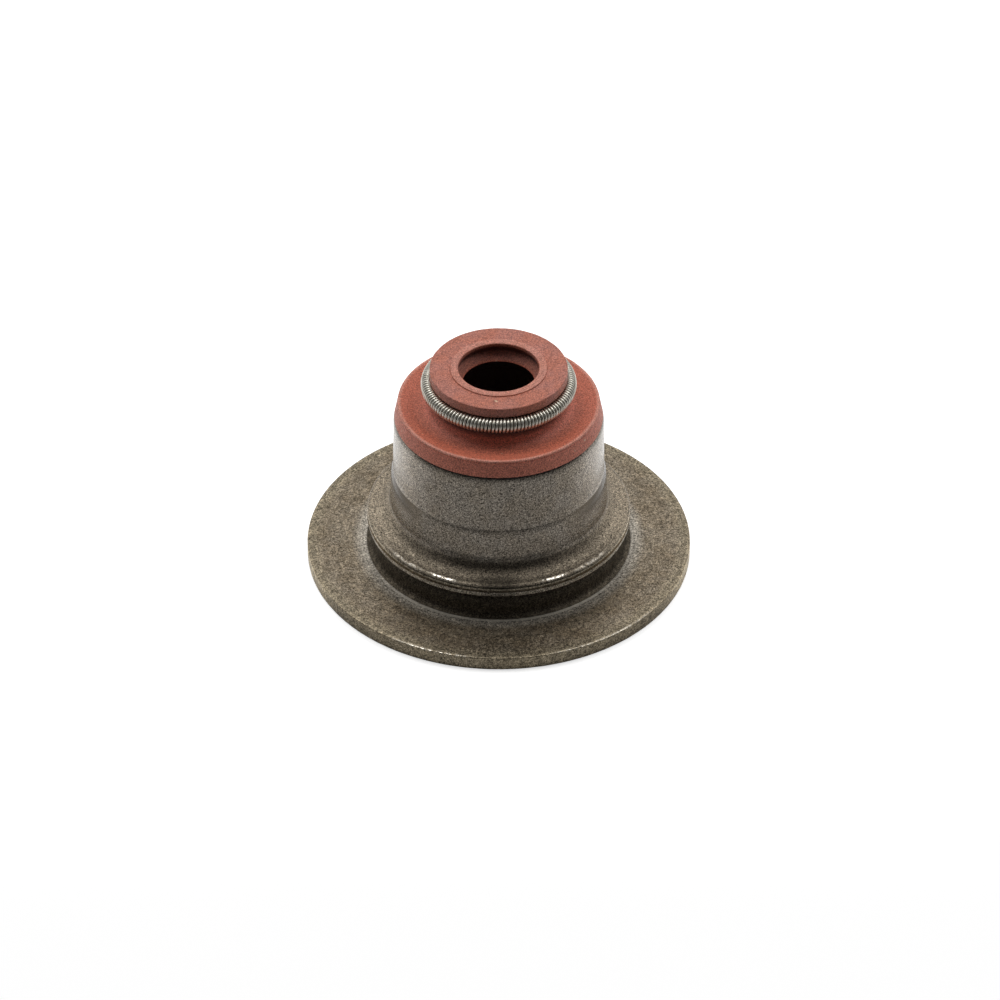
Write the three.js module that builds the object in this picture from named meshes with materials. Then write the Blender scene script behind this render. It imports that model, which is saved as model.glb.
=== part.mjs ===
// A spring-seat valve stem seal for a 7 mm valve stem and a 14 mm valve guide.
// Millimetres, +Z up. The stem's axis is the Z axis, and the flange's underside lies at z = 0.
// Four pieces, all fixed to each other: the pressed spring seat, the pressed sleeve welded on it,
// the rubber moulded onto the sleeve, and the garter spring in the rubber's groove.
import * as THREE from "three";

// What the seal fits
const stemRadius = 3.5; // the valve stem that slides in the lip
const guideRadius = 7; // the valve guide that the rubber lining grips

// Thin films between fixed pieces
const bondFilm = 0.02; // adhesive between rubber and sleeve
const weldFilm = 0.02; // between the sleeve's foot and the seat's shelf

// Garter spring
const wireDiameter = 0.26;
const coilDiameter = 1.4; // over the wire
const turnGap = 0.016; // between turns where they crowd, on the ring's inside
const springClearance = 0.02; // between the coil and the rubber groove

// Rubber: lip and head, from the stem outwards
const lipSqueeze = 0.265; // the free lip is this much smaller than the stem, in radius
const lipWall = 2.325; // from the lip's edge to the groove floor under the spring
const lipAboveSpring = 0.1; // the lip's edge over the spring's mid plane
const mouthClearance = 0.11; // the open mouth round the stem
const mouthDepth = 0.3; // thickness of the thin lip that rims the mouth
const reliefDepth = 0.34; // the relief groove under the mouth, in radius
const reliefHeight = 0.25;
const beadWidth = 0.72; // the raised bead round the mouth
const beadHeight = 0.11;
const beadDraft = 0.05;
const headRise = 1.7; // the head's top over the spring's mid plane
const headInset = 0.11; // the head's side, inside the spring's ring line
const headRounding = 0.1;
const grooveTopAngle = 112; // degrees round the coil where the groove ends above
const grooveLedgeAngle = 248; // and where its small ledge ends below
const neckFloor = 0.24; // straight neck under that ledge
const chamberWall = 0.86; // rubber between the groove floor and the chamber below the lip
const chamberTop = 1.7; // the lip's underside opens out over this height

// Rubber: shoulder over the sleeve's turned-in top
const springRise = 3.1; // the spring's mid plane over the sleeve's top
const rimRise = 1.2; // the shoulder's rim over the sleeve's top
const rimInset = 0.38; // the rim, inside the sleeve's wall
const rimRounding = 0.12;
const rimSlope = 1.38; // width of the rim's inner slope
const rimDip = 0.32; // how far that slope falls to the dished shoulder
const rubberEdgeAngle = 44; // degrees up the sleeve's rounded top where the rubber starts
const rubberSkin = 0.04; // the rubber stands this proud of the metal there

// Rubber: lining that grips the valve guide
const gripSqueeze = 0.2; // the lining is this much smaller than the guide, in radius
const liningWall = 1.51;
const liningInset = 0.5; // the lining ends this far above the sleeve's flare
const stopThickness = 0.5; // rubber under the sleeve's shelf, where the guide's end stops
const ribCount = 2;
const ribHeight = 0.15;
const ribWidth = 0.9;
const leadIn = 0.8; // chamfer at the lining's mouth
const shelfHoleWall = 1.8; // rubber between the chamber and the edge of the sleeve's shelf

// Sleeve
const sleeveSheet = 1.15;
const sleeveBend = 0.15; // inside radius where the top turns inward
const sleeveStraight = 4.77; // straight wall between the top bend and the skirt
const sleeveDraft = 0.1; // the wall widens by this much towards the skirt
const skirtStep = 0.18; // the skirt, the wall's lower part, stands out this far
const stepHeight = 0.8; // and the wall slopes out to it over this height
const skirtHeight = 2.2;
const skirtDraft = 0.14;
const footFillet = 1.5; // the flare between skirt and foot
const footLand = 0.62; // foot outside the flare, with its rounded edge
const footRounding = 0.45; // rolled-over upper edge of the cut

// Spring seat
const seatSheet = 1.3;
const seatBend = 0.2; // inside radius where the wall turns inward
const seatStraight = 0.41; // straight wall between fillet and bend
const footOverhang = 0.5; // the foot stands this far out over the recessed wall
const wallFillet = 0.65; // between the flange and the wall
const springLand = 5.35; // flat ring that carries the valve spring, and the edge outside it
const flangeRounding = 0.1;
const guideClearance = 1.9; // the seat's hole round the valve guide

const segments = 48; // facets round the axis
const stepsPerTurn = 7; // facets of the coil
const wireSides = 4;

// Radii and heights that follow, from the axis outwards and from the floor up
const lipRadius = stemRadius - lipSqueeze;
const mouthRadius = stemRadius + mouthClearance;
const grooveRadius = lipRadius + lipWall;
const coilRadius = coilDiameter / 2;
const ringRadius = grooveRadius + springClearance + coilRadius;
const headRadius = ringRadius - headInset;
const chamberRadius = grooveRadius - chamberWall;
const shelfHoleRadius = chamberRadius + shelfHoleWall;
const gripRadius = guideRadius - gripSqueeze;
const sleeveTopRadius = gripRadius + liningWall + sleeveSheet;
const wallFootRadius = sleeveTopRadius + sleeveDraft;
const skirtTopRadius = wallFootRadius + skirtStep;
const skirtFootRadius = skirtTopRadius + skirtDraft;
const rimRadius = sleeveTopRadius - rimInset;
const footRadius = skirtFootRadius + footFillet + footLand;
const wallRadius = footRadius - footOverhang;
const flangeRadius = wallRadius + wallFillet + springLand;
const seatHoleRadius = guideRadius + guideClearance;

const wallFilletZ = seatSheet + wallFillet;
const seatBendZ = wallFilletZ + seatStraight;
const stepTopZ = seatBendZ + seatBend + seatSheet;
const footBottomZ = stepTopZ + weldFilm;
const footTopZ = footBottomZ + sleeveSheet;
const flareZ = footTopZ + footFillet;
const skirtTopZ = flareZ + skirtHeight;
const wallFootZ = skirtTopZ + stepHeight;
const topBendZ = wallFootZ + sleeveStraight;
const sleeveTopZ = topBendZ + sleeveBend + sleeveSheet;
const springZ = sleeveTopZ + springRise;
const lipZ = springZ + lipAboveSpring;
const headTopZ = springZ + headRise;
const rimZ = sleeveTopZ + rimRise;
const stopZ = sleeveTopZ - sleeveSheet - bondFilm - stopThickness;

const radians = THREE.MathUtils.degToRad;

// Points of a section, as [radius, height], along an arc of a circle or an upright ellipse.
function arc(centreR, centreZ, radius, fromDeg, toDeg, steps, heightRadius = radius) {
  return Array.from({ length: steps + 1 }, (_, i) => {
    const angle = radians(fromDeg + ((toDeg - fromDeg) * i) / steps);
    return [centreR + radius * Math.cos(angle), centreZ + heightRadius * Math.sin(angle)];
  });
}

// A piece of revolution. Its section runs anticlockwise, with the radius to the right and the
// height up, and the first point closes it.
function turned(name, section, material) {
  const points = [...section, section[0]].map(([r, z]) => new THREE.Vector2(r, z));
  const geometry = new THREE.LatheGeometry(points, segments).rotateX(Math.PI / 2);
  const mesh = new THREE.Mesh(geometry, material);
  mesh.name = name;
  return mesh;
}

// The pressed flange: flat ring, fillet, short wall, and a shelf turned inward under the foot.
function springSeat() {
  const filletR = wallRadius + wallFillet;
  const outerBend = seatBend + seatSheet;
  const bendR = wallRadius - outerBend;
  return turned(
    "spring_seat",
    [
      [flangeRadius - flangeRounding, 0],
      [flangeRadius, flangeRounding],
      ...arc(flangeRadius - flangeRounding, seatSheet - flangeRounding, flangeRounding, 0, 90, 1),
      ...arc(filletR, wallFilletZ, wallFillet, 270, 180, 2),
      ...arc(bendR, seatBendZ, outerBend, 0, 90, 3),
      [seatHoleRadius, stepTopZ],
      [seatHoleRadius, stepTopZ - seatSheet],
      ...arc(bendR, seatBendZ, seatBend, 90, 0, 1),
      ...arc(filletR, wallFilletZ, wallFillet + seatSheet, 180, 270, 2),
    ],
    new THREE.MeshStandardMaterial({ color: 0x6b6252, roughness: 0.5, metalness: 0.85 }),
  );
}

// The pressed case: cut foot, flare, wall with its slightly wider skirt, and a shelf turned
// inward on top.
function metalSleeve() {
  const flareR = skirtFootRadius + footFillet;
  const outerBend = sleeveBend + sleeveSheet;
  const bendR = sleeveTopRadius - outerBend;
  return turned(
    "metal_sleeve",
    [
      [footRadius, footBottomZ],
      ...arc(footRadius - footRounding, footTopZ - footRounding, footRounding, 0, 90, 2),
      ...arc(flareR, flareZ, footFillet, 270, 180, 3),
      [skirtTopRadius, skirtTopZ],
      [wallFootRadius, wallFootZ],
      ...arc(bendR, topBendZ, outerBend, 0, 90, 3),
      [shelfHoleRadius, sleeveTopZ],
      [shelfHoleRadius, sleeveTopZ - sleeveSheet],
      ...arc(bendR, topBendZ, sleeveBend, 90, 0, 1),
      [wallFootRadius - sleeveSheet, wallFootZ],
      [skirtTopRadius - sleeveSheet, skirtTopZ],
      ...arc(flareR, flareZ, footFillet + sleeveSheet, 180, 270, 2),
    ],
    new THREE.MeshStandardMaterial({ color: 0x74706a, roughness: 0.42, metalness: 0.85 }),
  );
}

// Low ribs down the lining's bore, evenly spaced between the stop and the lead-in.
function gripRibs(fromZ, toZ) {
  const pitch = (toZ - fromZ) / (ribCount + 1);
  return Array.from({ length: ribCount }, (_, i) => {
    const z = fromZ + pitch * (i + 1);
    return [
      [gripRadius, z + ribWidth / 2],
      [gripRadius - ribHeight, z],
      [gripRadius, z - ribWidth / 2],
    ];
  }).flat();
}

// The moulded rubber. Its section starts at the lining's lower end, follows the sleeve's inside,
// shelf and rounded top, runs up over shoulder, neck and head, and comes back down the bore.
function rubberSeal() {
  const bendR = sleeveTopRadius - sleeveBend - sleeveSheet;
  const shelfUnderZ = sleeveTopZ - sleeveSheet - bondFilm;
  const liningZ = flareZ + liningInset;
  const widening = (skirtDraft * (skirtTopZ - liningZ)) / skirtHeight;
  const bonded = sleeveSheet + bondFilm;
  const overBend = sleeveBend + sleeveSheet + bondFilm;
  const edge = radians(rubberEdgeAngle);
  const grooveBend = coilRadius + springClearance;
  const groove = arc(
    ringRadius, springZ, grooveBend, grooveLedgeAngle, grooveTopAngle, 3);
  const [ledgeR, ledgeZ] = groove[0];
  const valleyR = rimRadius - rimSlope;
  const valleyZ = rimZ - rimDip;
  const reliefRadius = mouthRadius + reliefDepth;
  const reliefTopZ = headTopZ - mouthDepth - reliefHeight;
  return turned(
    "rubber_seal",
    [
      [skirtTopRadius + widening - bonded, liningZ],
      [skirtTopRadius - bonded, skirtTopZ],
      [wallFootRadius - bonded, wallFootZ],
      ...arc(bendR, topBendZ, sleeveBend - bondFilm, 0, 90, 1),
      [shelfHoleRadius - bondFilm, shelfUnderZ],
      [shelfHoleRadius - bondFilm, sleeveTopZ + bondFilm],
      ...arc(bendR, topBendZ, overBend, 90, rubberEdgeAngle, 2),
      [
        bendR + (overBend + rubberSkin) * Math.cos(edge),
        topBendZ + (overBend + rubberSkin) * Math.sin(edge),
      ],
      [rimRadius, rimZ - rimRounding],
      [rimRadius - rimRounding, rimZ],
      ...arc(valleyR, ledgeZ - neckFloor, valleyR - ledgeR, 270, 180, 2,
        ledgeZ - neckFloor - valleyZ),
      ...groove,
      [headRadius, springZ + grooveBend + headRounding],
      [headRadius, headTopZ - headRounding],
      [headRadius - headRounding, headTopZ],
      [mouthRadius + beadWidth + beadDraft, headTopZ],
      [mouthRadius + beadWidth, headTopZ + beadHeight],
      [mouthRadius + beadHeight, headTopZ + beadHeight],
      [mouthRadius, headTopZ],
      [mouthRadius, headTopZ - mouthDepth],
      [reliefRadius, reliefTopZ],
      [reliefRadius, reliefTopZ - reliefHeight],
      [lipRadius, lipZ],
      [chamberRadius, lipZ - chamberTop],
      [chamberRadius, stopZ],
      [gripRadius, stopZ],
      ...gripRibs(stopZ, liningZ + leadIn),
      [gripRadius, liningZ + leadIn],
      [gripRadius + leadIn, liningZ],
    ],
    new THREE.MeshStandardMaterial({ color: 0x9c4a38, roughness: 0.75, metalness: 0 }),
  );
}

// The centre line of a wire wound into a coil, with the coil itself bent round into a ring.
class WoundRing extends THREE.Curve {
  constructor(ring, helix, turns) {
    super();
    Object.assign(this, { ring, helix, turns });
  }

  // Direction from the coil's own axis out to the wire, at parameter t.
  outward(t) {
    const around = 2 * Math.PI * t;
    const wind = around * this.turns;
    return new THREE.Vector3(
      Math.cos(wind) * Math.cos(around),
      Math.cos(wind) * Math.sin(around),
      Math.sin(wind),
    );
  }

  getPoint(t, target = new THREE.Vector3()) {
    const around = 2 * Math.PI * t;
    target.set(this.ring * Math.cos(around), this.ring * Math.sin(around), 0);
    return target.addScaledVector(this.outward(t), this.helix);
  }

  // Equal angles rather than equal lengths, so that every turn has the same facets.
  getUtoTmapping(u) {
    return u;
  }

  // One edge of the wire's facets faces straight out from the coil all the way round.
  computeFrenetFrames(count) {
    const frames = { tangents: [], normals: [], binormals: [] };
    const step = 1 / (count * 100);
    for (let i = 0; i <= count; i++) {
      const t = i / count;
      const tangent = this.getPoint(t + step).sub(this.getPoint(t - step)).normalize();
      const binormal = tangent.clone().cross(this.outward(t)).normalize();
      frames.tangents.push(tangent);
      frames.binormals.push(binormal);
      frames.normals.push(binormal.clone().cross(tangent));
    }
    return frames;
  }
}

// The garter spring: as many turns as fit side by side on the ring's inside.
function garterSpring() {
  const helix = coilRadius - wireDiameter / 2;
  const crowded = 2 * Math.PI * (ringRadius - helix);
  const turns = Math.floor(crowded / (wireDiameter + turnGap));
  const path = new WoundRing(ringRadius, helix, turns);
  const geometry = new THREE.TubeGeometry(
    path, turns * stepsPerTurn, wireDiameter / 2, wireSides, true);
  const mesh = new THREE.Mesh(
    geometry,
    new THREE.MeshStandardMaterial({ color: 0xb4b0a8, roughness: 0.3, metalness: 1 }),
  );
  mesh.name = "garter_spring";
  mesh.position.z = springZ;
  return mesh;
}

const seal = new THREE.Group();
seal.add(springSeat(), metalSleeve(), rubberSeal(), garterSpring());
export default seal;
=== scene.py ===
"""Looks of the spring-seat valve stem seal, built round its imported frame.

Sections are written in millimetres, as [radius, height], and turned round the Z axis.
Everything that Blender holds is in metres.
"""

import math

import bpy
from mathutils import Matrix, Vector, noise


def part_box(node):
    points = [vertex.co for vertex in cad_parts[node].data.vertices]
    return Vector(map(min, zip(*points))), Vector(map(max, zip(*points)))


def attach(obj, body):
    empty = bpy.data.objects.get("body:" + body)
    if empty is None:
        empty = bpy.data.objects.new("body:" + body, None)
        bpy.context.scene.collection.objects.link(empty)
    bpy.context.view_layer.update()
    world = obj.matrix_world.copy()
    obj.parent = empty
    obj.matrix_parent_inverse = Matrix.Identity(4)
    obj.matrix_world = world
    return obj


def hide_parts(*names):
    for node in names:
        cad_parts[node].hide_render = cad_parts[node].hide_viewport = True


MM = 0.001
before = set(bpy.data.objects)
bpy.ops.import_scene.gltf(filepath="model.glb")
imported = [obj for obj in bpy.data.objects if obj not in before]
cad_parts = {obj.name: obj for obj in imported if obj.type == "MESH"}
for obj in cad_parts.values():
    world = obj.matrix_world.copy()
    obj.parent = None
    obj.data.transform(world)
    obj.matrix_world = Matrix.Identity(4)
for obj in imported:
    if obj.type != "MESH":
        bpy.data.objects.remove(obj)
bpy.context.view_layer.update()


def node_box(name):
    """Outer radius, lowest and highest height of a node of the frame, in millimetres."""
    low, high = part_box(name)
    return high.x / MM, low.z / MM, high.z / MM


# Sizes from the frame
FLANGE_R, _, STEP_TOP = node_box("spring_seat")
FOOT_R, FOOT_BOTTOM, SLEEVE_TOP = node_box("metal_sleeve")
RUBBER_R, LINING_Z, BEAD_TOP = node_box("rubber_seal")
COIL_OUT_R, COIL_LOW, COIL_HIGH = node_box("garter_spring")
SPRING_Z = (COIL_LOW + COIL_HIGH) / 2

# Sizes of the sections, in millimetres
SEAT_SHEET = 1.3
SLEEVE_SHEET = 1.15
FOOT_OVERHANG = 0.5
WALL_FILLET = 0.65
SEAT_BEND = 0.2
SEAT_HOLE_R = 8.9
SLEEVE_TOP_R = 9.46
WALL_FOOT_R = 9.56
SKIRT_STEP = 0.18
SKIRT_DRAFT = 0.14
SKIRT_HEIGHT = 2.2
STEP_HEIGHT = 0.8
SLEEVE_BEND = 0.85
FOOT_FILLET = 1.5
FOOT_ROUNDING = 0.45
BOND = 0.02

WIRE = 0.27
COIL = 1.4
RING_R = 6.28
TURNS = 130

HEAD_R = 6.17
HEAD_TOP = SPRING_Z + 1.7
MOUTH_R = 3.61
BEAD_W = 0.72
LIP_R = 3.235
LIP_Z = SPRING_Z + 0.1
GROOVE_R = 5.56
RIM_R = 9.08
RIM_Z = SLEEVE_TOP + 1.2
GRIP_R = 6.8
CHAMBER_WALL = 0.86  # rubber between the groove and the chamber under the lip
TURNED_IN = 1.8  # from the chamber to the edge of the sleeve's turned-in top
STOP = 0.5  # rubber under the sleeve's turned-in top
LINING_CHAMFER = 0.8
RIM_SLOPE = (1.38, 0.32)  # width and drop of the shoulder's outer slope
RIM_ROUNDING = 0.12
LIP_TAPER = 1.7
RIB_SWELL = 0.15
RIB_HALF = 0.45

ROUND = 384  # segments round the axis


# Mesh code
def arc(centre_r, centre_z, radius, start, end, steps, height=None):
    """Points of a section along an arc, from start to end in degrees."""
    height = radius if height is None else height
    angles = [math.radians(start + (end - start) * i / steps) for i in range(steps + 1)]
    return [(centre_r + radius * math.cos(a), centre_z + height * math.sin(a)) for a in angles]


def line(start, end, steps):
    """Points between two section points, both left out."""
    return [
        (start[0] + (end[0] - start[0]) * i / steps, start[1] + (end[1] - start[1]) * i / steps)
        for i in range(1, steps)
    ]


def show(name, verts, faces, material, sharp=32):
    """A smooth-shaded piece with sharp edges over the given angle, riding on the one body."""
    mesh = bpy.data.meshes.new(name)
    mesh.from_pydata(verts, [], faces)
    mesh.update()
    mesh.shade_smooth()
    mesh.set_sharp_from_angle(angle=math.radians(sharp))
    mesh.materials.append(material)
    piece = bpy.data.objects.new(name, mesh)
    bpy.context.scene.collection.objects.link(piece)
    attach(piece, "root")
    return piece


def turned(name, section, material, shift):
    """A closed section turned round the Z axis. shift(angle, r, z) moves a point by (dr, dz)."""
    count = len(section)
    verts = []
    for i in range(ROUND):
        angle = 2 * math.pi * i / ROUND
        for r, z in section:
            dr, dz = shift(angle, r, z)
            verts.append((
                (r + dr) * math.cos(angle) * MM,
                (r + dr) * math.sin(angle) * MM,
                (z + dz) * MM,
            ))
    faces = []
    for i in range(ROUND):
        a, b = i * count, (i + 1) % ROUND * count
        for j in range(count):
            k = (j + 1) % count
            faces.append((a + j, b + j, b + k, a + k))
    return show(name, verts, faces, material)


def waver(angle, r, z, per_mm, seed=0.0):
    """Smooth noise from -1 to 1 on the surface, with per_mm waves a millimetre."""
    point = Vector((r * math.cos(angle), r * math.sin(angle), z)) * per_mm
    return noise.noise(point + Vector((seed, seed * 1.7, -seed)))


# Node helpers
class Nodes:
    """A material's node tree, with short calls for what the materials here share."""

    def __init__(self, name):
        self.material = bpy.data.materials.new(name)
        self.material.use_nodes = True
        self.tree = self.material.node_tree
        self.shader = self.tree.nodes["Principled BSDF"]
        coords = self.tree.nodes.new("ShaderNodeTexCoord")
        scale = self.add("ShaderNodeVectorMath", operation="SCALE")
        scale.inputs["Scale"].default_value = 1 / MM
        self.link(coords.outputs["Object"], scale.inputs[0])
        self.mm = scale.outputs[0]

    def add(self, kind, **settings):
        node = self.tree.nodes.new(kind)
        for key, value in settings.items():
            setattr(node, key, value)
        return node

    def link(self, source, target):
        self.tree.links.new(source, target)

    def put(self, value, socket):
        """A link where value is a socket, a plain number or colour otherwise."""
        if isinstance(value, bpy.types.NodeSocket):
            self.link(value, socket)
        else:
            socket.default_value = value

    def noise(self, scale, detail=2.0, rough=0.5, vector=None):
        node = self.add("ShaderNodeTexNoise")
        node.inputs["Scale"].default_value = scale
        node.inputs["Detail"].default_value = detail
        node.inputs["Roughness"].default_value = rough
        self.link(vector or self.mm, node.inputs["Vector"])
        return node.outputs["Fac"]

    def math(self, operation, a, b=0.0):
        node = self.add("ShaderNodeMath", operation=operation)
        self.put(a, node.inputs[0])
        self.put(b, node.inputs[1])
        return node.outputs[0]

    def span(self, value, low, high, to_low=0.0, to_high=1.0, smooth=True):
        """value from low..high to to_low..to_high, clamped."""
        node = self.add("ShaderNodeMapRange", interpolation_type="SMOOTHSTEP" if smooth else "LINEAR")
        self.put(value, node.inputs["Value"])
        node.inputs["From Min"].default_value = low
        node.inputs["From Max"].default_value = high
        node.inputs["To Min"].default_value = to_low
        node.inputs["To Max"].default_value = to_high
        return node.outputs["Result"]

    def mix(self, factor, a, b):
        """The colour a where factor is 0, b where it is 1."""
        node = self.add("ShaderNodeMix", data_type="RGBA")
        self.put(factor, node.inputs[0])
        self.put(a, node.inputs[6])
        self.put(b, node.inputs[7])
        return node.outputs[2]

    def both(self, a, b):
        """The product of two masks."""
        return self.math("MULTIPLY", a, b)

    def blend(self, factor, a, b):
        """The number a where factor is 0, b where it is 1."""
        node = self.add("ShaderNodeMix", data_type="FLOAT")
        self.put(factor, node.inputs[0])
        self.put(a, node.inputs[2])
        self.put(b, node.inputs[3])
        return node.outputs[0]

    def near(self, value, centre, reach):
        """1 where value is at centre, falling to 0 at reach from it."""
        gap = self.math("ABSOLUTE", self.math("SUBTRACT", value, centre))
        return self.span(gap, reach * 0.4, reach, 1.0, 0.0)

    def grain(self, scale, strength):
        """A brightness factor round 1, from fine noise of the given scale."""
        swing = strength * 0.2
        return self.span(self.noise(scale, 2.0, 0.6), 0.3, 0.7, 1 - swing, 1 + swing, smooth=False)

    def shade(self, color, *factors):
        """The colour times every brightness factor."""
        for factor in factors:
            node = self.add("ShaderNodeVectorMath", operation="SCALE")
            self.link(color, node.inputs[0])
            self.link(factor, node.inputs["Scale"])
            color = node.outputs[0]
        return color

    def patches(self, places):
        """1 on the front half at each place, given as x, reach and weight, and 0 elsewhere."""
        parts = self.add("ShaderNodeSeparateXYZ")
        self.link(self.mm, parts.inputs[0])
        total = None
        for x, reach, weight in places:
            patch = self.math("MULTIPLY", self.near(parts.outputs["X"], x, reach), weight)
            total = patch if total is None else self.math("MAXIMUM", total, patch)
        return self.math("MULTIPLY", total, self.span(parts.outputs["Y"], 0.0, -1.0))

    def aside(self):
        """How far to the side a point lies: 0 in the middle plane, 1 at either side."""
        parts = self.add("ShaderNodeSeparateXYZ")
        self.link(self.mm, parts.inputs[0])
        radius, _ = self.radius_height()
        return self.math("DIVIDE", self.math("ABSOLUTE", parts.outputs["X"]), radius)

    def radius_height(self):
        """Distance from the axis and height, in millimetres."""
        parts = self.add("ShaderNodeSeparateXYZ")
        self.link(self.mm, parts.inputs[0])
        flat = self.add("ShaderNodeCombineXYZ")
        self.link(parts.outputs["X"], flat.inputs["X"])
        self.link(parts.outputs["Y"], flat.inputs["Y"])
        length = self.add("ShaderNodeVectorMath", operation="LENGTH")
        self.link(flat.outputs[0], length.inputs[0])
        return length.outputs["Value"], parts.outputs["Z"]

    def bump(self, height, distance, strength):
        node = self.add("ShaderNodeBump")
        node.inputs["Strength"].default_value = strength
        node.inputs["Distance"].default_value = distance * MM
        self.link(height, node.inputs["Height"])
        return node.outputs["Normal"]

    def finish(self, color, roughness, normal, **constants):
        self.link(color, self.shader.inputs["Base Color"])
        self.link(roughness, self.shader.inputs["Roughness"])
        if normal:
            self.link(normal, self.shader.inputs["Normal"])
        for key, value in constants.items():
            self.shader.inputs[key.replace("_", " ")].default_value = value
        return self.material


# Materials
RED = (0.44, 0.168, 0.125, 1)
WARM_RED = (0.46, 0.155, 0.1, 1)
SHOULDER_RED = (0.5, 0.135, 0.078, 1)
NECK_LIT_RED = (0.66, 0.2, 0.135, 1)
SIDE_LIT_RED = (0.57, 0.19, 0.13, 1)
RUBBED_AND_LIT_RED = (0.64, 0.29, 0.22, 1)
FLECK = (0.62, 0.42, 0.28, 1)
BORE_SHADE = (0.045, 0.022, 0.017, 1)
THROAT_SHADE = (0.05, 0.02, 0.015, 1)
SLEEVE_GREY = (0.235, 0.208, 0.175, 1)
SLEEVE_BROWN = (0.215, 0.185, 0.148, 1)
FOOT_BROWN = (0.195, 0.165, 0.125, 1)
TORN_GREY = (0.52, 0.48, 0.42, 1)
SHEARED_BROWN = (0.2, 0.17, 0.125, 1)
STEP_SHADE_BROWN = (0.21, 0.168, 0.12, 1)
RUBBED_AND_GLINT_CORNER = (0.8, 0.75, 0.66, 1)
SEAT_LIGHT = (0.24, 0.2, 0.148, 1)
SEAT_DARK = (0.2, 0.16, 0.11, 1)
SEAT_GREY = (0.4, 0.365, 0.31, 1)
SEAT_TAN = (0.28, 0.238, 0.165, 1)
RECESS_SHADE = (0.1, 0.084, 0.062, 1)
LINE_GREY = (0.58, 0.54, 0.47, 1)
RUBBED_AND_GLINT_RIM = (0.8, 0.74, 0.64, 1)
WIRE_BRIGHT = (0.71, 0.68, 0.605, 1)
WIRE_DULL = (0.56, 0.53, 0.455, 1)

# Places of painted glints on rubbed metal, on the front half: x in millimetres, reach and weight
FOOT_GLINTS = ((-5.0, 1.5, 1.0), (-8.2, 1.8, 0.4), (4.9, 1.4, 1.0), (8.2, 1.7, 0.45))
RIM_GLINTS = ((-6.0, 4.2, 1.0), (9.2, 5.5, 0.55))


def rubber_material():
    """Matte brick-red moulded rubber: fine speckle, paler where it is thin; painted highlights with
    rubbing on the rim and bead, painted light on the outer wall and neck, painted shade in the bore and
    throat.
    """
    n = Nodes("brick_red_rubber")
    r, z = n.radius_height()
    color = n.mix(n.span(n.noise(0.55, 3.0), 0.35, 0.65), RED, WARM_RED)
    shoulder = n.both(n.span(z, SPRING_Z + 0.3, SPRING_Z), n.span(z, RIM_Z - 0.5, RIM_Z - 0.3))
    color = n.mix(shoulder, color, SHOULDER_RED)
    # Painted light: the shaded neck under the spring made paler
    neck = n.both(shoulder, n.span(r, RING_R + 0.9, RING_R + 0.3))
    color = n.mix(neck, color, NECK_LIT_RED)
    # Painted light: the shoulder's outer wall paler, in place of the side light and sheen on it
    side = n.both(n.span(z, RIM_Z - 0.2, RIM_Z - 0.32), n.span(r, RIM_R - 0.1, RIM_R + 0.02))
    color = n.mix(side, color, SIDE_LIT_RED)
    # Painted highlight with rubbing: paler on the rim crease and the bead's top
    on_rim = n.near(z, RIM_Z - 0.06, 0.16)
    on_bead = n.near(z, BEAD_TOP, 0.06)
    on_rim = n.both(on_rim, n.span(r, RIM_R - 0.4, RIM_R - 0.15))
    rubbed_and_highlight = n.math("MAXIMUM", on_rim, n.both(on_bead, 0.55))
    rubbed_and_highlight = n.both(rubbed_and_highlight, n.span(n.noise(1.6, 4.0, 0.7), 0.3, 0.6, 0.45, 0.9))
    color = n.mix(rubbed_and_highlight, color, RUBBED_AND_LIT_RED)
    color = n.mix(n.span(n.noise(1.7, 0.0), 0.84, 0.87), color, FLECK)
    color = n.shade(color, n.grain(9.0, 2.6), n.grain(4.0, 0.6))
    # Painted shade: the bore under the lip near black, and the throat below the mouth darker, more so
    # deeper down
    bore = n.both(n.span(r, RING_R, RING_R - 0.3), n.span(z, LIP_Z + 0.05, LIP_Z - 0.1))
    color = n.mix(bore, color, BORE_SHADE)
    throat = n.span(z, HEAD_TOP - 0.1, HEAD_TOP - 0.3)
    throat = n.both(throat, n.span(r, MOUTH_R + 0.5, MOUTH_R + 0.3))
    deep = n.span(z, HEAD_TOP - 0.95, HEAD_TOP - 0.75, 0.22, 0.82)
    color = n.mix(n.both(throat, deep), color, THROAT_SHADE)
    normal = n.bump(n.noise(6.0, 3.0, 0.6), 0.03, 0.6)
    return n.finish(color, n.span(n.noise(4.0, 2.0), 0.3, 0.7, 0.66, 0.5), normal, Metallic=0.0,
                    Specular_IOR_Level=0.35)


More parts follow.
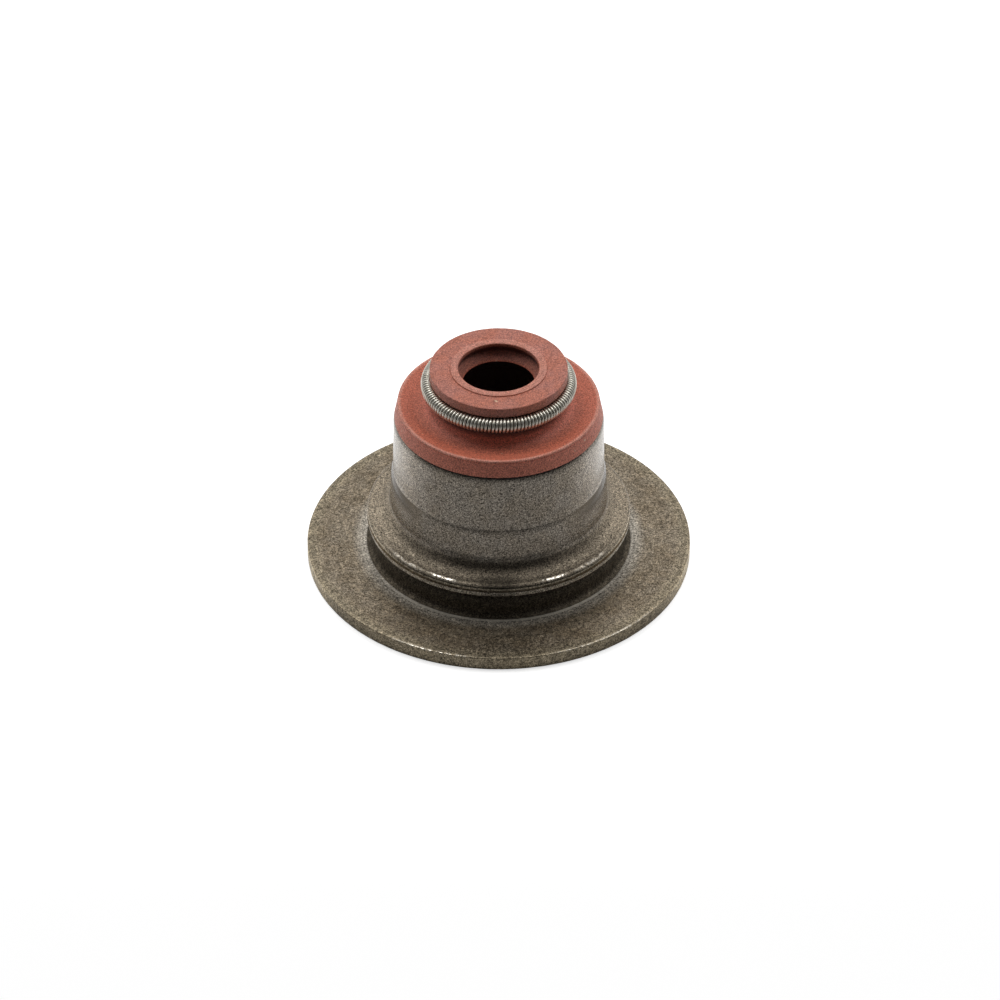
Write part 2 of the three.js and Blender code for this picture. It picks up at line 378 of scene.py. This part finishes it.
def sleeve_material():
    """Satin grey phosphated sheet, browner on its foot, with a sheared edge, painted glints on a rubbed
    corner, and painted shade and light set by its front and sides.
    """
    n = Nodes("satin_grey_sheet")
    r, z = n.radius_height()
    foot_top = FOOT_BOTTOM + SLEEVE_SHEET
    color = n.mix(n.span(n.noise(0.5, 3.0, 0.6), 0.35, 0.65), SLEEVE_GREY, SLEEVE_BROWN)
    on_foot = n.span(z, foot_top + 1.5, foot_top + 0.7)
    color = n.mix(on_foot, color, FOOT_BROWN)
    at_edge = n.span(r, FOOT_R - 0.09, FOOT_R - 0.06)
    torn = n.both(at_edge, n.span(z, FOOT_BOTTOM + 0.4, FOOT_BOTTOM + 0.5, 1.0, 0.0))
    color = n.mix(torn, color, TORN_GREY)
    sheared = n.both(at_edge, n.span(z, FOOT_BOTTOM + 0.4, FOOT_BOTTOM + 0.5))
    color = n.mix(sheared, color, SHEARED_BROWN)
    color = n.shade(color, n.grain(9.0, 4.4), n.grain(4.5, 1.6), n.grain(0.9, 0.25))
    # Painted shade and light: darker under the step at the sides, below the rubber, in the flare's valley
    # and on the foot's top in front; the foot brighter at the sides
    # Darker or lighter where the photographed sheet mirrors something darker or lighter
    aside = n.aside()
    under_step = n.both(n.span(z, foot_top + 2.6, foot_top + 3.9),
                        n.span(z, foot_top + 4.55, foot_top + 4.45))
    step_shade = n.blend(under_step, 1.0, n.span(aside, 0.6, 0.92, 1.0, 0.3))
    top_shade = n.span(z, SLEEVE_TOP - 1.1, SLEEVE_TOP - 0.7, 1.0, 0.65)
    in_valley = n.both(n.near(z, foot_top + 1.1, 0.75), n.span(aside, 0.7, 0.3))
    on_top = n.both(n.near(r, FOOT_R - 0.6, 0.9), n.span(aside, 0.25, 0.05))
    front_shade = n.span(n.math("MAXIMUM", in_valley, on_top), 0.0, 1.0, 1.0, 0.5)
    side_shine = n.blend(on_foot, 1.0, n.span(aside, 0.75, 1.0, 1.0, 1.7))
    # Painted shade: browner under the step at the sides
    color = n.mix(n.both(under_step, n.span(aside, 0.6, 0.92)), color, STEP_SHADE_BROWN)
    color = n.shade(color, step_shade, top_shade, front_shade, side_shine)
    # Painted glints with rubbed metal: a bright, smooth corner at the listed places on the front half
    corner = n.both(n.near(z, foot_top - 0.05, 0.13),
                    n.span(r, FOOT_R - 0.46, FOOT_R - 0.38))
    places = n.patches(FOOT_GLINTS)
    worn_and_glint_places = n.both(places, n.span(n.noise(3.0, 4.0, 0.8), 0.44, 0.56))
    rubbed_and_highlight = n.both(corner, worn_and_glint_places)
    color = n.mix(rubbed_and_highlight, color, RUBBED_AND_GLINT_CORNER)
    rough = n.span(n.noise(5.0, 2.0), 0.3, 0.7, 0.2, 0.28)
    rough = n.blend(on_foot, rough, n.span(n.noise(4.0, 2.0), 0.3, 0.7, 0.5, 0.66))
    rough = n.blend(sheared, rough, 0.22)
    rough = n.blend(torn, rough, 0.6)
    rough = n.blend(rubbed_and_highlight, rough, 0.2)
    normal = n.bump(n.noise(6.0, 4.0, 0.65), 0.03, 0.6)
    return n.finish(color, rough, normal, Metallic=1.0)


def seat_material():
    """Brown-grey mottled sheet with faint rings, paler round the step partly as painted light, painted
    shade in the recess, painted shine on the rim's side edge and painted glints with rubbing on its top
    edge.
    """
    n = Nodes("mottled_brown_sheet")
    r, z = n.radius_height()
    inner_r = FOOT_R - FOOT_OVERHANG + WALL_FILLET
    color = n.mix(n.span(n.noise(0.45, 4.0, 0.65), 0.35, 0.65), SEAT_LIGHT, SEAT_DARK)
    # Paler grey round the step: partly the sheet's tone, partly painted light against the shade by the
    # foot
    near_step = n.span(r, inner_r + 1.5, inner_r + 0.1)
    color = n.mix(near_step, color, SEAT_GREY)
    color = n.mix(n.span(r, FLANGE_R - 1.6, FLANGE_R - 0.3, 0.0, 0.6), color, SEAT_TAN)
    # Painted shade: the recessed wall under the foot made dark
    recess = n.span(r, inner_r, inner_r - 0.12)
    color = n.mix(recess, color, RECESS_SHADE)
    stretched = n.add("ShaderNodeCombineXYZ")
    n.link(r, stretched.inputs["X"])
    rings = n.noise(3.2, 3.0, 0.6, stretched.outputs[0])
    color = n.shade(color, n.grain(9.0, 4.4), n.grain(4.0, 2.2),
                    n.span(rings, 0.3, 0.7, 0.8, 1.2), n.grain(1.3, 1.0))
    line = n.both(n.near(r, inner_r + 0.03, 0.2), n.span(z, SEAT_SHEET + 0.2, SEAT_SHEET + 0.1))
    line = n.both(line, n.span(n.noise(1.5, 4.0, 0.7), 0.3, 0.6, 0.5, 1.0))
    # The wear line is painted fainter at the sides, to offset the light there
    aside = n.aside()
    line = n.both(line, n.span(aside, 0.6, 0.9, 1.0, 0.15))
    color = n.mix(line, color, LINE_GREY)
    # Painted shine: the flange's side edge lighter at the sides
    edge_shine = n.blend(n.span(r, FLANGE_R - 0.05, FLANGE_R - 0.02), 1.0,
                         n.span(aside, 0.8, 0.97, 1.0, 2.3))
    color = n.shade(color, edge_shine)
    # Painted glints with rubbed metal on the rim's top edge, at the listed places on the front half
    rim = n.both(n.near(z, SEAT_SHEET, 0.12), n.span(r, FLANGE_R - 0.26, FLANGE_R - 0.14))
    places = n.patches(RIM_GLINTS)
    worn_and_glint_places = n.both(places, n.span(n.noise(2.6, 5.0, 0.8), 0.44, 0.58))
    rubbed_and_highlight = n.both(rim, worn_and_glint_places)
    color = n.mix(rubbed_and_highlight, color, RUBBED_AND_GLINT_RIM)
    rough = n.span(n.noise(5.0, 2.0), 0.3, 0.7, 0.34, 0.48)
    rough = n.blend(near_step, rough, 0.5)
    rough = n.blend(line, rough, 0.78)
    rough = n.blend(recess, rough, 0.65)
    rough = n.blend(rubbed_and_highlight, rough, 0.18)
    normal = n.bump(n.noise(6.0, 4.0, 0.65), 0.025, 0.45)
    return n.finish(color, rough, normal, Metallic=1.0)


def wire_material():
    """Bright drawn steel wire, duller in places."""
    n = Nodes("bright_wire")
    tarnish = n.noise(1.2, 3.0)
    color = n.mix(n.span(tarnish, 0.35, 0.7), WIRE_BRIGHT, WIRE_DULL)
    return n.finish(color, n.span(n.noise(8.0, 2.0), 0.3, 0.7, 0.3, 0.42), None, Metallic=1.0)


# Pieces
def spring_seat(material):
    """The flange, its short recessed wall and the shelf turned inward under the foot."""
    wall_r = FOOT_R - FOOT_OVERHANG
    fillet_r = wall_r + WALL_FILLET
    fillet_z = SEAT_SHEET + WALL_FILLET
    bend = SEAT_BEND + SEAT_SHEET
    bend_r, bend_z = wall_r - bend, STEP_TOP - bend
    edge = 0.1
    section = [
        *arc(FLANGE_R - edge, edge, edge, 270, 360, 4),
        *arc(FLANGE_R - edge, SEAT_SHEET - edge, edge, 0, 90, 5),
        *line((FLANGE_R - edge, SEAT_SHEET), (fillet_r, SEAT_SHEET), 14),
        *arc(fillet_r, fillet_z, WALL_FILLET, 270, 180, 8),
        *arc(bend_r, bend_z, bend, 0, 90, 10),
        (SEAT_HOLE_R + 0.08, STEP_TOP),
        (SEAT_HOLE_R, STEP_TOP - 0.08),
        (SEAT_HOLE_R, STEP_TOP - SEAT_SHEET + 0.08),
        (SEAT_HOLE_R + 0.08, STEP_TOP - SEAT_SHEET),
        *arc(bend_r, bend_z, SEAT_BEND, 90, 0, 4),
        *arc(fillet_r, fillet_z, WALL_FILLET + SEAT_SHEET, 180, 270, 10),
        *line((fillet_r, 0), (FLANGE_R - edge, 0), 6),
    ]

    def shift(angle, r, z):
        if r > FLANGE_R - 2 * edge:
            return 0.012 * waver(angle, r, z, 1.6) + 0.006 * waver(angle, r, z, 5.0, 3.0), 0
        return 0, 0

    piece = turned("spring_seat_shown", section, material, shift)
    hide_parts("spring_seat")
    return piece


def metal_sleeve(material):
    """The case: cut foot, flare, widening skirt, soft step, straight wall, top turned inward."""
    foot_top = FOOT_BOTTOM + SLEEVE_SHEET
    skirt_top_r = WALL_FOOT_R + SKIRT_STEP
    skirt_foot_r = skirt_top_r + SKIRT_DRAFT
    flare_r, flare_z = skirt_foot_r + FOOT_FILLET, foot_top + FOOT_FILLET
    skirt_top_z = flare_z + SKIRT_HEIGHT
    wall_foot_z = skirt_top_z + STEP_HEIGHT
    bend_r, bend_z = SLEEVE_TOP_R - SLEEVE_BEND, SLEEVE_TOP - SLEEVE_BEND
    hole_r = GROOVE_R - CHAMBER_WALL + TURNED_IN
    edge = FOOT_ROUNDING
    burnish_z = FOOT_BOTTOM + 0.46
    step = [
        (WALL_FOOT_R + SKIRT_STEP * math.cos(math.pi / 2 * i / 8), skirt_top_z + STEP_HEIGHT * i / 8)
        for i in range(9)
    ]
    section = [
        (FOOT_R - 0.08, FOOT_BOTTOM),
        (FOOT_R - 0.05, FOOT_BOTTOM + 0.06),
        (FOOT_R, burnish_z),
        *arc(FOOT_R - edge, foot_top - edge, edge, 0, 90, 10),
        *arc(flare_r, flare_z, FOOT_FILLET, 270, 180, 16),
        *line((skirt_foot_r, flare_z), step[0], 5),
        *step,
        *line(step[-1], (SLEEVE_TOP_R, bend_z), 10),
        *arc(bend_r, bend_z, SLEEVE_BEND, 0, 90, 12),
        (hole_r, SLEEVE_TOP),
        (hole_r, SLEEVE_TOP - SLEEVE_SHEET),
        (SLEEVE_TOP_R - SLEEVE_SHEET, SLEEVE_TOP - SLEEVE_SHEET),
        *line((SLEEVE_TOP_R - SLEEVE_SHEET, bend_z), (WALL_FOOT_R - SLEEVE_SHEET, wall_foot_z), 4),
        (WALL_FOOT_R - SLEEVE_SHEET, wall_foot_z),
        (skirt_top_r - SLEEVE_SHEET, skirt_top_z),
        *arc(flare_r, flare_z, FOOT_FILLET + SLEEVE_SHEET, 180, 270, 12),
    ]

    def shift(angle, r, z):
        if r > FOOT_R - 0.12 and z < burnish_z - 0.01:
            return 0.012 * waver(angle, r, z, 3.0) + 0.006 * waver(angle, r, z, 8.0, 5.0), 0
        if r > FOOT_R - edge:
            return 0.008 * waver(angle, r, z, 2.0, 2.0), 0.01 * waver(angle, r, z, 1.3, 9.0)
        return 0, 0

    piece = turned("metal_sleeve_shown", section, material, shift)
    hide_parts("metal_sleeve")
    return piece


def rubber_seal(material):
    """The moulded rubber: lining, shoulder, neck, head with its bead, and the lip."""
    bend = SLEEVE_BEND + BOND
    bend_r, bend_z = SLEEVE_TOP_R - SLEEVE_BEND, SLEEVE_TOP - SLEEVE_BEND
    chamber_r = GROOVE_R - CHAMBER_WALL
    hole_r = chamber_r + TURNED_IN - BOND
    under_z = SLEEVE_TOP - SLEEVE_SHEET - BOND
    stop_z = under_z - STOP
    inner_r = SLEEVE_TOP_R - SLEEVE_SHEET - BOND
    skin = math.radians(32)
    skin_edge = (bend_r + (bend + 0.03) * math.cos(skin), bend_z + (bend + 0.03) * math.sin(skin))
    skirt_r = WALL_FOOT_R + SKIRT_STEP
    wall_foot_z = FOOT_BOTTOM + SLEEVE_SHEET + FOOT_FILLET + SKIRT_HEIGHT + STEP_HEIGHT
    coil_groove = COIL / 2 + BOND
    groove = arc(RING_R, SPRING_Z, coil_groove, 248, 112, 14)
    ledge_r, ledge_z = groove[0]
    valley_r, valley_z = RIM_R - RIM_SLOPE[0], RIM_Z - RIM_SLOPE[1]
    rim = RIM_ROUNDING
    ribs = []
    for i in (1, 2):
        rib_z = stop_z + (LINING_Z + LINING_CHAMFER - stop_z) * i / 3
        for step in range(9):
            across = step / 8 * 2 - 1
            swell = RIB_SWELL / 2 * (1 + math.cos(math.pi * across))
            ribs.append((GRIP_R - swell, rib_z - RIB_HALF * across))
    section = [
        (skirt_r - SLEEVE_SHEET - BOND, LINING_Z),
        (skirt_r - SLEEVE_SHEET - BOND, wall_foot_z - STEP_HEIGHT),
        (WALL_FOOT_R - SLEEVE_SHEET - BOND, wall_foot_z),
        (inner_r, under_z),
        (hole_r, under_z),
        (hole_r, SLEEVE_TOP + BOND),
        *arc(bend_r, bend_z, bend, 90, 32, 6),
        skin_edge,
        *line(skin_edge, (RIM_R, RIM_Z - rim), 10),
        *arc(RIM_R - rim, RIM_Z - rim, rim, 0, 100, 5),
        *line((RIM_R - rim, RIM_Z), (valley_r, valley_z), 8),
        *arc(valley_r, ledge_z - 0.24, valley_r - ledge_r, 270, 180, 12, ledge_z - 0.24 - valley_z),
        *groove,
        (HEAD_R - 0.03, SPRING_Z + coil_groove + 0.06),
        (HEAD_R, SPRING_Z + coil_groove + 0.12),
        *line((HEAD_R, SPRING_Z + coil_groove + 0.12), (HEAD_R, HEAD_TOP - 0.07), 6),
        *arc(HEAD_R - 0.07, HEAD_TOP - 0.07, 0.07, 0, 90, 4),
        *line((HEAD_R - 0.07, HEAD_TOP), (MOUTH_R + BEAD_W + 0.03, HEAD_TOP), 8),
        (MOUTH_R + BEAD_W + 0.03, HEAD_TOP),
        (MOUTH_R + BEAD_W, HEAD_TOP + 0.05),
        *arc(MOUTH_R + BEAD_W - 0.05, BEAD_TOP - 0.05, 0.05, 0, 90, 3),
        *arc(MOUTH_R + 0.12, BEAD_TOP - 0.12, 0.12, 90, 180, 5),
        (MOUTH_R, HEAD_TOP - 0.3),
        *arc(MOUTH_R + 0.1, HEAD_TOP - 0.55, 0.24, 90, 0, 4),
        (MOUTH_R + 0.34, HEAD_TOP - 0.8),
        *line((MOUTH_R + 0.34, HEAD_TOP - 0.8), (LIP_R, LIP_Z), 5),
        *arc(LIP_R + 0.03, LIP_Z, 0.03, 150, 215, 3),
        *line((LIP_R, LIP_Z), (chamber_r, LIP_Z - LIP_TAPER), 5),
        (chamber_r, LIP_Z - LIP_TAPER),
        (chamber_r, stop_z + 0.1),
        (chamber_r + 0.1, stop_z),
        (GRIP_R, stop_z),
        *ribs,
        (GRIP_R, LINING_Z + LINING_CHAMFER),
        (GRIP_R + LINING_CHAMFER, LINING_Z),
    ]

    def shift(angle, r, z):
        if r > HEAD_R - 0.3 and z > HEAD_TOP - 0.5:
            return 0.02 * waver(angle, r, z, 1.2), 0.012 * waver(angle, r, z, 2.0, 4.0)
        if r > RIM_R - 0.3 and z > RIM_Z - 0.3:
            return 0.012 * waver(angle, r, z, 1.2), 0.015 * waver(angle, r, z, 1.6, 4.0)
        return 0, 0

    piece = turned("rubber_seal_shown", section, material, shift)
    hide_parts("rubber_seal")
    return piece


def garter_spring(material):
    """The round wire wound into a coil, and the coil bent round into a ring."""
    steps, sides = 22, 8
    helix = (COIL - WIRE) / 2
    total = TURNS * steps
    verts = []
    for i in range(total):
        around = 2 * math.pi * i / total
        wind = around * TURNS
        radial = Vector((math.cos(around), math.sin(around), 0))
        outward = radial * math.cos(wind) + Vector((0, 0, math.sin(wind)))
        turn = radial * -math.sin(wind) + Vector((0, 0, math.cos(wind)))
        along = Vector((-math.sin(around), math.cos(around), 0))
        centre = radial * RING_R + outward * helix + Vector((0, 0, SPRING_Z))
        tangent = (turn * helix * TURNS + along * (RING_R + helix * math.cos(wind))).normalized()
        side = tangent.cross(outward).normalized()
        for j in range(sides):
            a = 2 * math.pi * j / sides
            verts.append((centre + (outward * math.cos(a) + side * math.sin(a)) * WIRE / 2) * MM)
    faces = []
    for i in range(total):
        a, b = i * sides, (i + 1) % total * sides
        for j in range(sides):
            k = (j + 1) % sides
            faces.append((a + j, a + k, b + k, b + j))
    piece = show("garter_spring_shown", verts, faces, material, sharp=80)
    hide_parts("garter_spring")
    return piece


# Stage, light and camera
BACK_LIGHT = 0.95  # level of the surroundings behind and beside the object
FRONT_LIGHT = 0.07  # the same on the camera's side, where the photograph's studio is dark
HORIZON_LIGHT = 0.15  # share of either level left near the horizon
FLOOR_BACK = 0.9
# Painted shade: the floor's tone in front of the object, darker than behind it
FLOOR_FRONT = 0.45
FLOOR_LIFT = 0.62
FLOOR_BESIDE = 0.6  # lift that reflections see beside and behind the object
LAMP_DISTANCE = 0.6
LEFT_BOX = ((-0.3, 0.18, 0.94), 0.27, 4.2)  # direction, size in metres, radiance
RIGHT_BOX = ((0.4, 0.15, 0.9), 0.25, 3.6)
VIEW_ELEVATION = 37.61  # degrees
VIEW_DISTANCE = 0.44
VIEW_TARGET = (0.000118, 0, 0.00556)
LENS = 174.07


class Steps:
    """Short calls for the node trees of the floor and the world."""

    def __init__(self, tree):
        self.tree = tree

    def add(self, kind):
        return self.tree.nodes.new(kind)

    def put(self, value, socket):
        if isinstance(value, bpy.types.NodeSocket):
            self.tree.links.new(value, socket)
        else:
            socket.default_value = value

    def math(self, operation, a, b=0.0):
        node = self.add("ShaderNodeMath")
        node.operation = operation
        self.put(a, node.inputs[0])
        self.put(b, node.inputs[1])
        return node.outputs[0]

    def span(self, value, low, high, to_low, to_high):
        node = self.add("ShaderNodeMapRange")
        node.interpolation_type = "SMOOTHSTEP"
        self.put(value, node.inputs["Value"])
        for key, number in zip(("From Min", "From Max", "To Min", "To Max"),
                               (low, high, to_low, to_high)):
            node.inputs[key].default_value = number
        return node.outputs["Result"]

    def axes(self, coordinate):
        parts = self.add("ShaderNodeSeparateXYZ")
        self.put(self.add("ShaderNodeTexCoord").outputs[coordinate], parts.inputs[0])
        return parts.outputs

    def seen(self):
        return self.add("ShaderNodeLightPath").outputs["Is Camera Ray"]


def floor():
    """A floor, white behind and painted darker in front as shade, lifted to white for the camera and
    beside the object for gloss. Its shadow stays.
    """
    material = bpy.data.materials.new("white_floor")
    material.use_nodes = True
    steps = Steps(material.node_tree)
    steps.tree.nodes.clear()
    tone = steps.span(steps.axes("Object")["Y"], -0.05, 0.01, FLOOR_FRONT, FLOOR_BACK)
    diffuse = steps.add("ShaderNodeBsdfDiffuse")
    steps.put(tone, diffuse.inputs["Color"])
    lift = steps.add("ShaderNodeEmission")
    beside = steps.span(steps.axes("Object")["Y"], -0.012, 0.01, 0.0, FLOOR_BESIDE)
    reach = steps.add("ShaderNodeVectorMath")
    reach.operation = "LENGTH"
    steps.put(steps.add("ShaderNodeTexCoord").outputs["Object"], reach.inputs[0])
    outside = steps.span(reach.outputs["Value"], FLANGE_R * MM, (FLANGE_R + 1) * MM, 0.0, 1.0)
    beside = steps.math("MULTIPLY", beside, outside)
    mirrored = steps.add("ShaderNodeLightPath").outputs["Is Glossy Ray"]
    level = steps.math("ADD", steps.math("MULTIPLY", steps.seen(), FLOOR_LIFT),
                       steps.math("MULTIPLY", mirrored, beside))
    steps.put(level, lift.inputs["Strength"])
    both = steps.add("ShaderNodeAddShader")
    steps.put(diffuse.outputs[0], both.inputs[0])
    steps.put(lift.outputs[0], both.inputs[1])
    steps.put(both.outputs[0], steps.add("ShaderNodeOutputMaterial").inputs["Surface"])
    half, drop = 2.0, -0.00002
    mesh = bpy.data.meshes.new("floor")
    corners = [(-half, -half, drop), (half, -half, drop), (half, half, drop), (-half, half, drop)]
    mesh.from_pydata(corners, [], [(0, 1, 2, 3)])
    mesh.materials.append(material)
    plane = bpy.data.objects.new("floor", mesh)
    bpy.context.scene.collection.objects.link(plane)


def surround():
    """A white room behind and beside the object, dark in front and between the lamps."""
    world = bpy.data.worlds.new("studio")
    bpy.context.scene.world = world
    world.use_nodes = True
    steps = Steps(world.node_tree)
    back = world.node_tree.nodes["Background"]
    axes = steps.axes("Generated")
    level = steps.span(axes["Y"], -0.4, 0.4, FRONT_LIGHT, BACK_LIGHT)
    strip = steps.span(steps.math("ABSOLUTE", axes["X"]), 0.08, 0.25, 0.15, 1.0)
    away = steps.span(axes["Y"], 0.0, 0.35, 0.0, 1.0)
    level = steps.math("MULTIPLY", level, steps.math("MAXIMUM", strip, away))
    level = steps.math("MULTIPLY", level, steps.span(axes["Z"], 0.05, 0.36, HORIZON_LIGHT, 1.0))
    seen = steps.seen()
    steps.put(steps.math("MAXIMUM", level, seen), back.inputs["Strength"])
    back.inputs["Color"].default_value = (1, 1, 1, 1)


def lamp(name, direction, size, radiance):
    """A square softbox that faces the object from a direction, with the given radiance."""
    data = bpy.data.lights.new(name, "AREA")
    data.shape = "SQUARE"
    data.size = size
    data.energy = radiance * math.pi * size * size
    light = bpy.data.objects.new(name, data)
    towards = Vector(direction).normalized()
    light.location = towards * LAMP_DISTANCE + Vector((0, 0, 0.01))
    light.rotation_mode = "QUATERNION"
    light.rotation_quaternion = towards.to_track_quat("Z", "Y")
    bpy.context.scene.collection.objects.link(light)


def camera():
    """The photograph's view: from in front and 37.6 degrees up, through a long lens."""
    elevation = math.radians(VIEW_ELEVATION)
    data = bpy.data.cameras.new("camera")
    data.sensor_width = 36
    data.lens = LENS
    cam = bpy.data.objects.new("camera", data)
    back = Vector((0, -math.cos(elevation), math.sin(elevation)))
    cam.location = Vector(VIEW_TARGET) + back * VIEW_DISTANCE
    cam.rotation_mode = "QUATERNION"
    cam.rotation_quaternion = back.to_track_quat("Z", "Y")
    data.clip_start, data.clip_end = 0.01, 10
    bpy.context.scene.collection.objects.link(cam)
    bpy.context.scene.camera = cam


bpy.context.scene.view_settings.view_transform = "Standard"
camera()
floor()
surround()
lamp("left_box", *LEFT_BOX)
lamp("right_box", *RIGHT_BOX)
spring_seat(seat_material())
metal_sleeve(sleeve_material())
rubber_seal(rubber_material())
garter_spring(wire_material())
